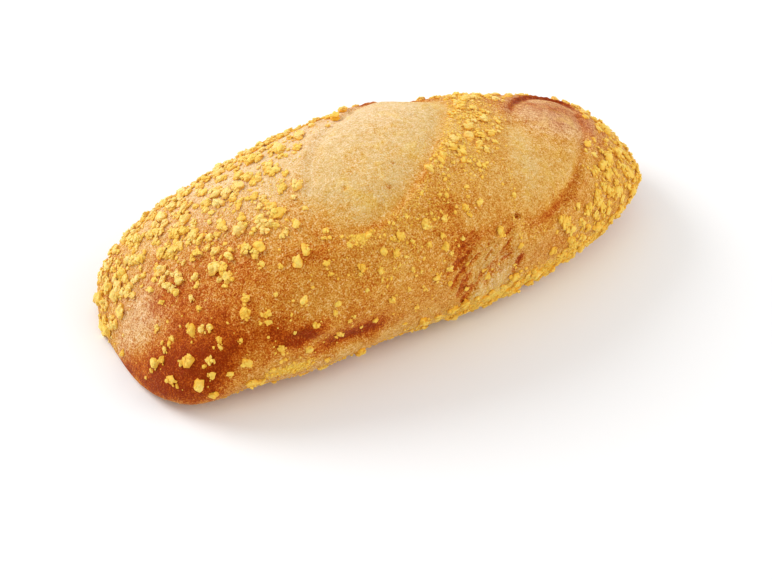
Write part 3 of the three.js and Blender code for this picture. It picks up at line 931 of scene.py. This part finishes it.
def grain_group():
    """A node group of baked grain: slow Mottle and fine Speckle, both about 0, and Height, which is both."""
    tree = bpy.data.node_groups.new("Baked grain", "ShaderNodeTree")
    tree.interface.new_socket("Vector", in_out="INPUT", socket_type="NodeSocketVector")
    for name in ("Patch size", "Grain size"):
        tree.interface.new_socket(name, in_out="INPUT", socket_type="NodeSocketFloat")
    for name in ("Mottle", "Speckle", "Height"):
        tree.interface.new_socket(name, in_out="OUTPUT", socket_type="NodeSocketFloat")
    line = NodeLine(tree)
    source = line.add("NodeGroupInput").outputs
    cells = {name: line.maths("DIVIDE", 1.0, source[name]) for name in ("Patch size", "Grain size")}
    mottle = line.noise(source["Vector"], cells["Patch size"], GRAIN_DETAIL["mottle"])
    speckle = line.noise(source["Vector"], cells["Grain size"], GRAIN_DETAIL["speckle"])
    height = line.maths("MULTIPLY_ADD", mottle, GRAIN_HEIGHT, speckle)
    line.add("NodeGroupOutput", Mottle=mottle, Speckle=speckle, Height=height)
    return tree


def grain(line, tree, vector, sizes):
    """The baked grain group placed in a material at its own sizes in metres."""
    inputs = {"Vector": vector, "Patch_size": sizes["patch"], "Grain_size": sizes["grain"]}
    return line.add("ShaderNodeGroup", {"node_tree": tree}, **inputs).outputs


def slash_noise(line, place, slash, pattern):
    """Noise that shows on the slashes alone."""
    made = line.noise(place, pattern["scale"], pattern["detail"], pattern["swirl"])
    return line.maths("MULTIPLY", made, slash)


def opaque(colour):
    """A colour with its opacity of 1."""
    return (*colour, 1.0)


def new_material(name):
    """An empty material, the line that fills its tree, and its Object coordinates."""
    material = bpy.data.materials.new(name)
    material.use_nodes = True
    material.node_tree.nodes.clear()
    line = NodeLine(material.node_tree)
    return material, line, line.add("ShaderNodeTexCoord").outputs["Object"]


def close_material(line, surface, **plain):
    """Sets the surface's plain numbers and links it to the material's output."""
    for key, value in plain.items():
        surface.inputs[key.replace("_", " ")].default_value = value
    line.add("ShaderNodeOutputMaterial", Surface=surface.outputs[0])


def crust_material(settings, tree):
    """Baked crust: a brown that follows the bake level and its grain, under flour, in places a painted
    highlight, and specks of meal.

    On the slashes fine felt and slow clouds join the grain, and the clouds bring in a little of the meal's
    yellow. The veil thins where the crust is browned. Light and dark specks multiply the colour last.
    """
    material, line, place = new_material("Baked crust")
    patches = grain(line, tree, place, PATCHES)
    flecks = grain(line, tree, place, FLECKS)
    bake, slash, meal = (line.attribute(name) for name in ("bake", "slash", "meal"))
    uneven = line.remap(slash, 0.0, 1.0, 1.0, GRAIN_ON_SLASH)
    level = bake
    for outputs, amounts in ((patches, PATCHES), (flecks, FLECKS)):
        for name in ("Mottle", "Speckle"):
            change = line.maths("MULTIPLY", outputs[name], uneven)
            level = line.maths("MULTIPLY_ADD", change, amounts[name.lower()], level)
    felt, clouds = (slash_noise(line, place, slash, pattern) for pattern in (FELT, CLOUDS))
    level = line.maths("MULTIPLY_ADD", felt, FELT["strength"], level)
    level = line.maths("MULTIPLY_ADD", clouds, CLOUDS["strength"], level)
    shades = (settings.floury, settings.straw, settings.golden, settings.browned, settings.burnt)
    colour = line.ramp(level, tuple(zip(BAKE_STOPS, shades)))
    # The dust attribute is flour, and in two patches a painted highlight
    veil = line.maths("MULTIPLY_ADD", flecks["Speckle"], VEIL["flecks"], line.attribute("dust"))
    veil = line.maths("MULTIPLY_ADD", patches["Speckle"], VEIL["patches"], veil)
    thinned = line.remap(bake, *VEIL["browned"], 1.0, VEIL["least"])
    veil = line.maths("MULTIPLY", line.remap(veil, *VEIL["levels"], 0.0, VEIL["most"]), thinned)
    colour = line.mix(veil, colour, opaque(settings.dust))
    cloud_meal = line.remap(clouds, *CLOUD_MEAL["levels"], 0.0, CLOUD_MEAL["most"])
    colour = line.mix(cloud_meal, colour, opaque(settings.meal))
    cells = line.add("ShaderNodeTexVoronoi", Vector=place, Scale=SPECKS["scale"]).outputs["Distance"]
    cores = line.remap(cells, SPECKS["edge"], SPECKS["core"], 0.0, 1.0)
    specks = line.maths("MULTIPLY", cores, line.remap(meal, 0.0, SPECKS["all"], 0.0, 1.0))
    cover = line.maths("MAXIMUM", specks, line.maths("POWER", meal, SPECKS["solid"]))
    cover = line.maths("MULTIPLY", cover, settings.meal_strength, clamp=True)
    colour = line.mix(cover, colour, opaque(settings.meal))
    tone = line.maths("MULTIPLY_ADD", patches["Speckle"], TONES["patch_speckle"], flecks["Speckle"])
    tone = line.maths("MULTIPLY_ADD", patches["Mottle"], TONES["patch_mottle"], tone)
    shade = line.mix(line.remap(tone, *TONES["levels"], 0.0, 1.0), TONES["light"], TONES["dark"])
    multiply = {"data_type": "RGBA", "blend_type": "MULTIPLY"}
    colour = line.add("ShaderNodeMix", multiply, i0=settings.speckle, i6=colour, i7=shade).outputs[2]
    rough = line.remap(slash, 0.0, 1.0, settings.roughness, SLASH_ROUGHNESS)
    bump = {"Strength": settings.bump}
    for outputs, sizes in ((flecks, FLECKS), (patches, PATCHES)):
        made = line.add("ShaderNodeBump", Distance=sizes["bump"], Height=outputs["Height"], **bump)
        bump["Normal"] = made.outputs[0]
    surface = line.add("ShaderNodeBsdfPrincipled", Base_Color=colour, Roughness=rough, Normal=bump["Normal"])
    close_material(
        line, surface, Subsurface_Weight=0.10, Subsurface_Radius=(1.0, 0.45, 0.18), Subsurface_Scale=0.0008,
        Specular_IOR_Level=0.12, Specular_Tint=(1.0, 0.55, 0.2, 1.0), Sheen_Weight=0.08, Sheen_Roughness=0.4,
        Sheen_Tint=(1.0, 0.88, 0.6, 1.0),
    )
    return material


def grit_material(settings, tree):
    """Corn grit: lemon yellow that differs from chip to chip, waxy, and amber down its lower sides, partly
    where it sinks into the crust and partly as painted shade.
    """
    material, line, place = new_material("Corn grit")
    crumb = grain(line, tree, place, CHIP_GRAIN)
    level = line.maths("MULTIPLY_ADD", crumb["Mottle"], CHIP_GRAIN["mottle"], line.attribute("tint"))
    level = line.maths("MULTIPLY_ADD", crumb["Speckle"], CHIP_GRAIN["speckle"], level)
    shades = (settings.pale, settings.lemon, settings.toasted)
    colour = line.ramp(level, tuple(zip(CHIP_STOPS, shades)))
    # Amber down the chip's lower sides: partly toasting where it sits in the crust, partly painted shade
    sunk_and_shade = line.remap(line.attribute("tip"), *SUNK_AND_SHADE["levels"], 0.0, SUNK_AND_SHADE["most"])
    colour = line.mix(sunk_and_shade, colour, opaque(settings.amber))
    relief = {"Strength": CHIP_BUMP_STRENGTH, "Distance": CHIP_GRAIN["bump"], "Height": crumb["Height"]}
    bump = line.add("ShaderNodeBump", **relief)
    surface = line.add("ShaderNodeBsdfPrincipled", Base_Color=colour, Normal=bump.outputs[0])
    close_material(
        line, surface, Subsurface_Weight=0.20, Subsurface_Radius=(1.0, 0.70, 0.15), Subsurface_Scale=0.0008,
        Roughness=0.5, Specular_IOR_Level=0.2, Sheen_Weight=0.10, Sheen_Roughness=0.4,
        Sheen_Tint=(1.0, 0.88, 0.5, 1.0),
    )
    return material


def floor_material(settings):
    """Plain pale floor: white with a very slow, faint change of tone."""
    material, line, place = new_material("Pale floor")
    slow = line.add(
        "ShaderNodeTexNoise", Vector=place, Scale=FLOOR_TONE["scale"], Detail=FLOOR_TONE["detail"]
    ).outputs[0]
    darker = tuple(FLOOR_TONE["darker"] * part for part in settings.floor)
    colour = line.mix(slow, opaque(settings.floor), opaque(darker))
    close_material(line, line.add("ShaderNodeBsdfPrincipled", Base_Color=colour), Roughness=0.9)
    return material


# Settings -----------------------------------------------------------------------------------------


def colour_property(name, description, default):
    """A colour that a user can change."""
    return FloatVectorProperty(
        name=name, description=description, default=default, subtype="COLOR", min=0, max=1
    )


def share_property(name, description, default):
    """A share from 0 to 1 that a user can change."""
    return FloatProperty(name=name, description=description, default=default, subtype="FACTOR", min=0, max=1)


class CrustSettings(bpy.types.PropertyGroup):
    """Sizes and colours of the crust."""

    stations: IntProperty(name="Stations", description="Rings of the crust's grid", default=384, min=16)
    sides: IntProperty(name="Sides", description="Points on each ring", default=256, min=16)
    floury: colour_property("Floury", "Palest crust, on the wide slash", (0.735, 0.505, 0.195))
    straw: colour_property("Straw", "Lightly baked crust", (0.75, 0.43, 0.10))
    golden: colour_property("Golden", "Most of the crust", (0.655, 0.268, 0.029))
    browned: colour_property("Browned", "Deeply baked crust", (0.50, 0.094, 0.004))
    burnt: colour_property("Burnt", "Lips and cracks", (0.29, 0.028, 0.001))
    # The veil's colour, which in two patches also paints a highlight
    dust: colour_property("Dust", "Veil of flour", (0.89, 0.67, 0.39))
    meal: colour_property("Meal", "Fine maize dust on the crust", (0.95, 0.66, 0.09))
    meal_strength: share_property("Meal strength", "How far the meal covers", 0.9)
    speckle: share_property("Speckle", "Depth of the light and dark specks", 0.9)
    roughness: share_property("Roughness", "Of the golden crust", 0.58)
    bump: share_property("Bump", "Strength of the fine grain", 0.55)


class GritSettings(bpy.types.PropertyGroup):
    """Colours of the grits."""

    pale: colour_property("Pale", "Palest chips", (0.97, 0.77, 0.29))
    lemon: colour_property("Lemon", "Most chips", (0.95, 0.68, 0.135))
    toasted: colour_property("Toasted", "Chips that caught the heat", (0.93, 0.575, 0.07))
    # Amber: partly toasting where a chip sinks into the crust, partly painted shade on its lower sides
    amber: colour_property("Amber", "Where a chip sinks into the crust", (0.86, 0.405, 0.014))


class StageSettings(bpy.types.PropertyGroup):
    """Camera, light and floor."""

    azimuth: FloatProperty(
        name="Azimuth", description="Camera's bearing", default=math.radians(-29.5), subtype="ANGLE"
    )
    elevation: FloatProperty(
        name="Elevation", description="Camera's height angle", default=math.radians(42), subtype="ANGLE"
    )
    distance: FloatProperty(
        name="Distance", description="From the aim to the camera", default=1.03, unit="LENGTH"
    )
    lens: FloatProperty(name="Lens", description="Focal length in millimetres", default=100.0, min=1)
    aim: FloatVectorProperty(
        name="Aim", description="Where the camera looks", default=(-0.0101, -0.0177, 0.0068), unit="LENGTH"
    )
    floor: colour_property("Floor", "Colour of the floor", (0.95, 0.95, 0.95))
    sky: FloatProperty(name="Sky", description="Strength of the light from all round", default=0.72, min=0)
    key: FloatProperty(name="Key", description="Power of the key light in watts", default=18.0, min=0)
    fill: FloatProperty(name="Fill", description="Power of the fill light in watts", default=9.0, min=0)


# Operators ----------------------------------------------------------------------------------------


class CORNBREAD_OT_crust(bpy.types.Operator):
    """Build the loaf's crust"""

    bl_idname = "cornbread.crust"
    bl_label = "Build crust"

    def execute(self, context):
        settings = context.scene.cornbread_crust
        points, faces, attributes = crust_mesh(settings.stations, settings.sides)
        add_piece("crust", points, faces, attributes, crust_material(settings, shared_grain()))
        return {"FINISHED"}


class CORNBREAD_OT_grits(bpy.types.Operator):
    """Build the corn grits, one piece for each kind"""

    bl_idname = "cornbread.grits"
    bl_label = "Build grits"

    def execute(self, context):
        material = grit_material(context.scene.cornbread_grits, shared_grain())
        frames = {kind: grit_frames(kind) for kind in GRIT_KINDS}
        for kind, placed in frames.items():
            points, triangles, attributes = grit_mesh(placed, GRIT_KINDS[kind])
            add_piece(f"grits_{kind}", points, [triangles], attributes, material, smooth=False)
        points, triangles, attributes = grit_mesh(crumb_frames(frames["coarse"]), CRUMBS)
        add_piece("grit_crumbs", points, [triangles], attributes, material, smooth=False)
        return {"FINISHED"}


class CORNBREAD_OT_stage(bpy.types.Operator):
    """Build the floor, the lights and the camera"""

    bl_idname = "cornbread.stage"
    bl_label = "Build stage"

    def execute(self, context):
        settings = context.scene.cornbread_stage
        build_floor(settings)
        build_lights(context.scene, settings)
        build_camera(context.scene, settings)
        context.scene.view_settings.view_transform = "Standard"
        return {"FINISHED"}


class CORNBREAD_PT_parts(bpy.types.Panel):
    """Shows the buttons that build the loaf's pieces and its stage"""

    bl_label = "Cornbread Loaf"
    bl_idname = "CORNBREAD_PT_parts"
    bl_space_type = "VIEW_3D"
    bl_region_type = "UI"
    bl_category = "Cornbread"

    def draw(self, context):
        for operator in (CORNBREAD_OT_crust, CORNBREAD_OT_grits, CORNBREAD_OT_stage):
            self.layout.operator(operator.bl_idname)


def shared_grain():
    """The baked grain group, made once."""
    return bpy.data.node_groups.get("Baked grain") or grain_group()


# Stage --------------------------------------------------------------------------------------------


def build_floor(settings):
    """A flat pale square just under the loaf."""
    mesh = bpy.data.meshes.new("floor")
    corners = ((-1, -1), (1, -1), (1, 1), (-1, 1))
    mesh.from_pydata([(FLOOR_HALF * x, FLOOR_HALF * y, 0.0) for x, y in corners], [], [(0, 1, 2, 3)])
    mesh.materials.append(floor_material(settings))
    floor = bpy.data.objects.new("floor", mesh)
    bpy.context.scene.collection.objects.link(floor)


def build_lights(scene, settings):
    """An even white sky, a broad soft key light from behind on the left, and a weak fill from the front."""
    world = bpy.data.worlds.new("Studio")
    world.use_nodes = True
    background = world.node_tree.nodes["Background"]
    background.inputs["Color"].default_value = (1.0, 1.0, 1.0, 1.0)
    background.inputs["Strength"].default_value = settings.sky
    scene.world = world
    for name, light, power in (("key", KEY_LIGHT, settings.key), ("fill", FILL_LIGHT, settings.fill)):
        lamp = bpy.data.lights.new(name, "AREA")
        lamp.energy = power
        lamp.shape = "DISK"
        lamp.size = light["size"]
        shown = bpy.data.objects.new(name, lamp)
        shown.location = light["place"]
        shown.rotation_euler = (-Vector(light["place"])).to_track_quat("-Z", "Y").to_euler()
        scene.collection.objects.link(shown)


def build_camera(scene, settings):
    """A camera on the photograph's line of sight, upright, at a set distance from its aim."""
    azimuth, elevation = settings.azimuth, settings.elevation
    right = Vector((math.cos(azimuth), math.sin(azimuth), 0.0))
    ahead = Vector((-math.sin(azimuth), math.cos(azimuth), 0.0))
    look = ahead * math.cos(elevation) - Vector((0, 0, math.sin(elevation)))
    upward = ahead * math.sin(elevation) + Vector((0, 0, math.cos(elevation)))
    place = Vector(settings.aim) - look * settings.distance
    camera = bpy.data.objects.new("camera", bpy.data.cameras.new("camera"))
    camera.data.lens = settings.lens
    camera.data.sensor_width = SENSOR_WIDTH
    camera.data.clip_start = NEAREST_SEEN
    camera.matrix_world = Matrix((
        (right.x, upward.x, -look.x, place.x),
        (right.y, upward.y, -look.y, place.y),
        (right.z, upward.z, -look.z, place.z),
        (0, 0, 0, 1),
    ))
    scene.collection.objects.link(camera)
    scene.camera = camera


# Registration -------------------------------------------------------------------------------------

CLASSES = (
    CrustSettings, GritSettings, StageSettings, CORNBREAD_OT_crust, CORNBREAD_OT_grits, CORNBREAD_OT_stage,
    CORNBREAD_PT_parts,
)


def register():
    """Makes the classes and the scene's settings known to Blender."""
    for made in CLASSES:
        bpy.utils.register_class(made)
    bpy.types.Scene.cornbread_crust = PointerProperty(type=CrustSettings)
    bpy.types.Scene.cornbread_grits = PointerProperty(type=GritSettings)
    bpy.types.Scene.cornbread_stage = PointerProperty(type=StageSettings)


def unregister():
    """Takes them away again."""
    del bpy.types.Scene.cornbread_stage
    del bpy.types.Scene.cornbread_grits
    del bpy.types.Scene.cornbread_crust
    for made in reversed(CLASSES):
        bpy.utils.unregister_class(made)


def main():
    register()
    bpy.ops.cornbread.crust()
    bpy.ops.cornbread.grits()
    bpy.ops.cornbread.stage()


if __name__ == "__main__":
    main()
